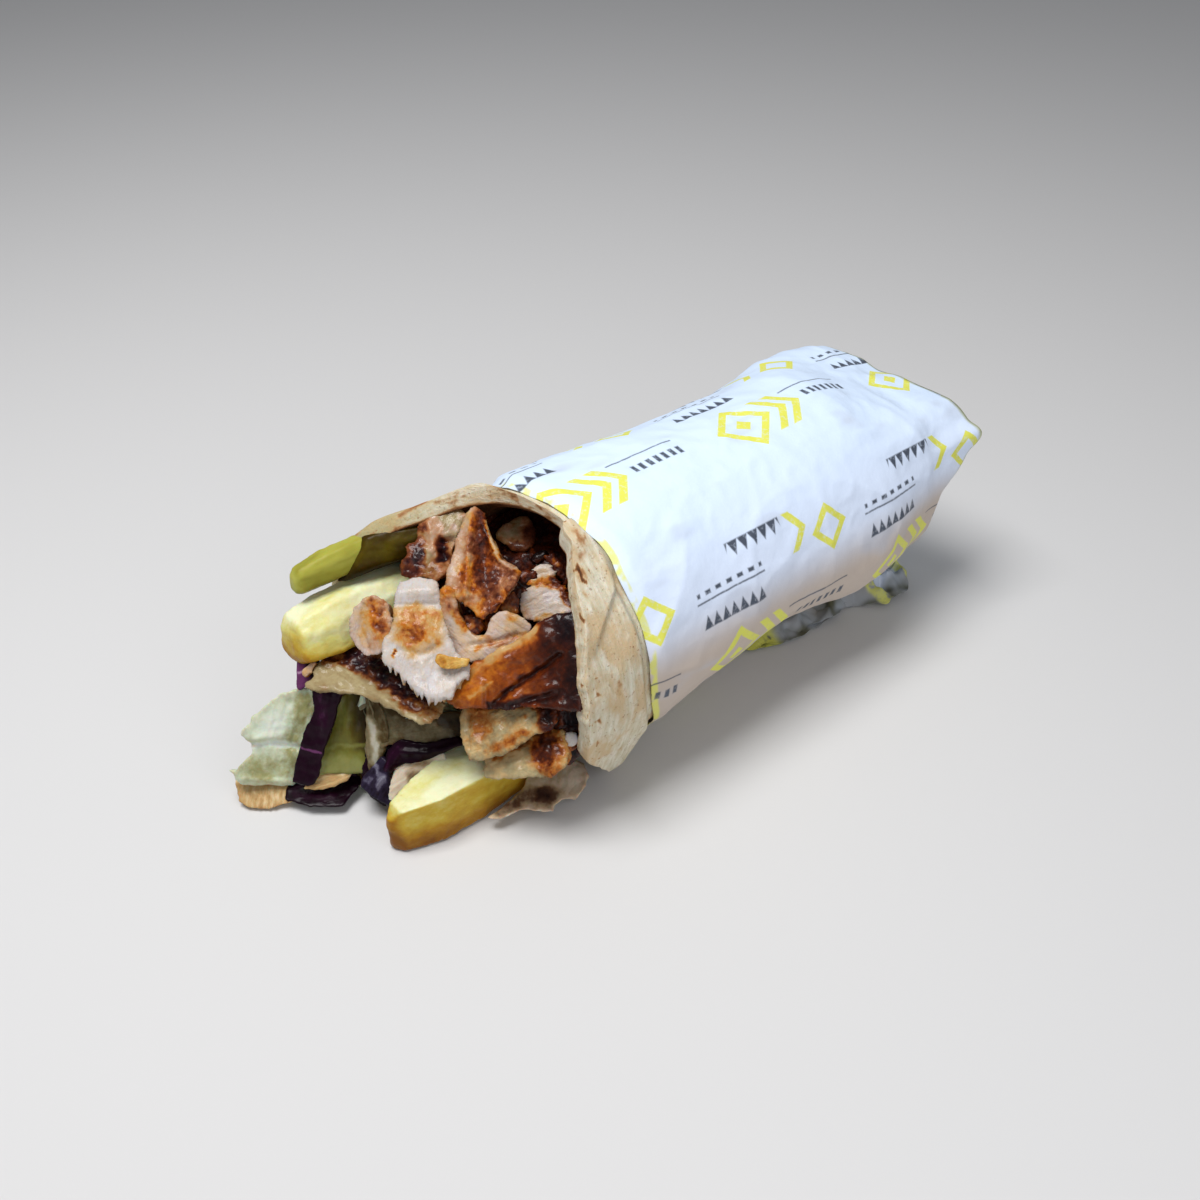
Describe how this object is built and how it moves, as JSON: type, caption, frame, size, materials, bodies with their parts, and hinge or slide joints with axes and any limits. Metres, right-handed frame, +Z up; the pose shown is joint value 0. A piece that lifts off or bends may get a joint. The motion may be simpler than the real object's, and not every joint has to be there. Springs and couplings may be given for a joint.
{
  "type": "gyro wrap",
  "caption": "Chicken gyro wrap: rolled flatbread in a folded printed paper sleeve, open at one end with grilled chicken, fries, pickle and salad spilling out.",
  "frame": {"origin": "centre of the bounding box in X and Y, at the surface that the wrap lies on", "axes": "+Y along the roll towards the folded end of the paper, so the open mouth looks towards -Y; +Z up; +X towards the side where the edge of the bread laps over"},
  "size_m": [0.0682, 0.1878, 0.065],
  "materials": {
    "paper": "white greaseproof paper with a small yellow and dark grey print, creased and lightly greasy",
    "bread": "matte toasted flatbread with brown flecks",
    "chicken": "grilled and glazed, white inside with charred edges",
    "salad": "wet shredded salad with sauce",
    "fries": "fried golden, slightly oily",
    "pickle": "wet olive green",
    "lettuce": "wet pale green, slightly translucent",
    "leaf": "wet dark olive leaf",
    "cabbage": "glossy dark purple"
  },
  "bodies": {
    "root": {"paper_wrap": "paper", "flatbread": "bread", "fry_2": "fries", "fry_1": "fries", "pickle_1": "pickle", "pickle_2": "pickle", "chicken_front": "chicken", "chicken_left": "chicken", "chicken_long": "chicken", "chicken_lower": "chicken", "chicken_glazed": "chicken", "chicken_base": "chicken", "chicken_peak": "chicken", "chicken_right": "chicken", "chicken_char": "chicken", "chicken_side": "chicken", "chicken_nub": "chicken", "chicken_curl": "chicken", "chicken_crust": "chicken", "cabbage_1": "cabbage", "cabbage_3": "cabbage", "cabbage_4": "cabbage", "cabbage_5": "cabbage", "shred_1": "lettuce", "shred_2": "lettuce", "lettuce_leaf": "lettuce", "inner_leaf": "leaf", "pale_leaf": "lettuce", "under_leaf": "lettuce", "cabbage_2": "cabbage", "chicken_filling": "chicken", "salad_filling": "salad"}
  },
  "joints": []
}
